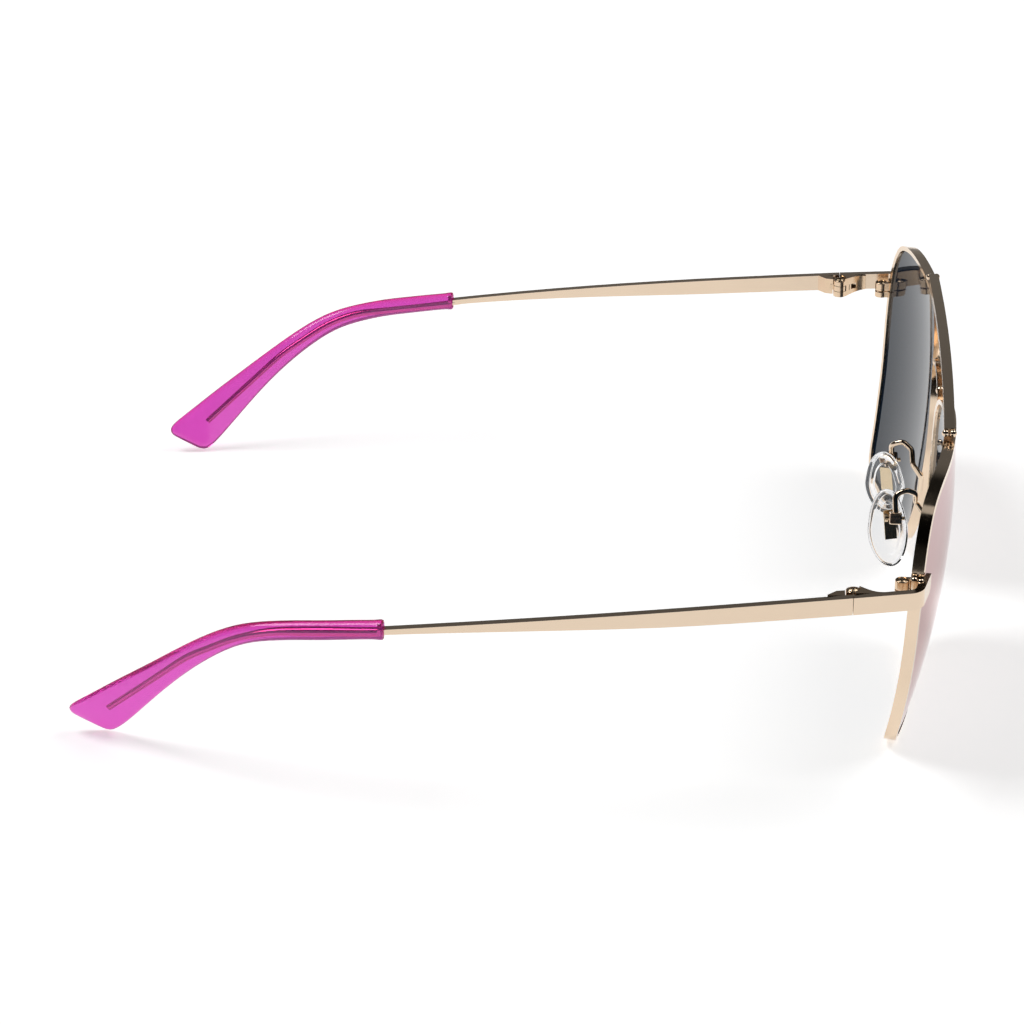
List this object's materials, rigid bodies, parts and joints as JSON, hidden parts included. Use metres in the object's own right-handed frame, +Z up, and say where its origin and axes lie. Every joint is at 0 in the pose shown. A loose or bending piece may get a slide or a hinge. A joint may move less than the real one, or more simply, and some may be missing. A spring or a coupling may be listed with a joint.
{
  "type": "sunglasses",
  "caption": "Open metal-frame sunglasses with squared mirrored lenses, a straight brow bar, nose pads on wire arms and folding temples with curved plastic tips.",
  "frame": {"origin": "middle of the footprint on the floor the glasses stand on, temples open", "axes": "+X to the wearer's left, +Y to the rear along the open temples (the wearer looks along -Y), +Z up"},
  "size_m": [0.1516, 0.155, 0.0523],
  "materials": {
    "frame_metal": "polished pale champagne gold plating",
    "hinge_metal": "polished pale gold plating",
    "screws": "polished gold plating, slotted heads",
    "lens": "dusty pink mirror coating in front, neutral grey tint behind",
    "tip": "clear glossy magenta, see-through to the metal core",
    "pad": "clear soft silicone",
    "insert": "plain pale gold metal"
  },
  "bodies": {
    "front": {"rim_left": "frame_metal", "rim_right": "frame_metal", "lens_left": "lens", "lens_right": "lens", "brow_bar": "frame_metal", "bridge": "frame_metal", "end_piece_left": "frame_metal", "end_piece_right": "frame_metal", "closing_block_upper_left": "frame_metal", "closing_block_upper_right": "frame_metal", "closing_block_lower_left": "frame_metal", "closing_block_lower_right": "frame_metal", "closing_screws": "screws", "front_hinge_left": "hinge_metal", "front_hinge_right": "hinge_metal", "hinge_screws": "screws", "pad_arm_left": "frame_metal", "pad_arm_right": "frame_metal", "pad_box_left": "frame_metal", "pad_box_right": "frame_metal", "pad_screws": "screws"},
    "temple_left": {"temple_left": "frame_metal", "temple_hinge_left": "hinge_metal", "temple_tip_left": "tip"},
    "nose_pad_left": {"nose_pad_left": "pad", "pad_insert_left": "insert"},
    "temple_right": {"temple_right": "frame_metal", "temple_hinge_right": "hinge_metal", "temple_tip_right": "tip"},
    "nose_pad_right": {"nose_pad_right": "pad", "pad_insert_right": "insert"}
  },
  "joints": [
    {"name": "temple_left_fold", "type": "hinge", "parent": "front", "child": "temple_left", "pos_m": [0.0704, -0.0588, 0.0353], "axis": [0, 0, 1], "range_deg": [0, 88]},
    {"name": "temple_right_fold", "type": "hinge", "parent": "front", "child": "temple_right", "pos_m": [-0.0704, -0.0588, 0.0353], "axis": [0, 0, -1], "range_deg": [0, 83]},
    {"name": "nose_pad_left_rock", "type": "hinge", "parent": "front", "child": "nose_pad_left", "pos_m": [0.013, -0.0681, 0.0234], "axis": [0, 1, 0], "range_deg": [-8, 8]},
    {"name": "nose_pad_right_rock", "type": "hinge", "parent": "front", "child": "nose_pad_right", "pos_m": [-0.013, -0.0681, 0.0234], "axis": [0, -1, 0], "range_deg": [-8, 8]}
  ]
}
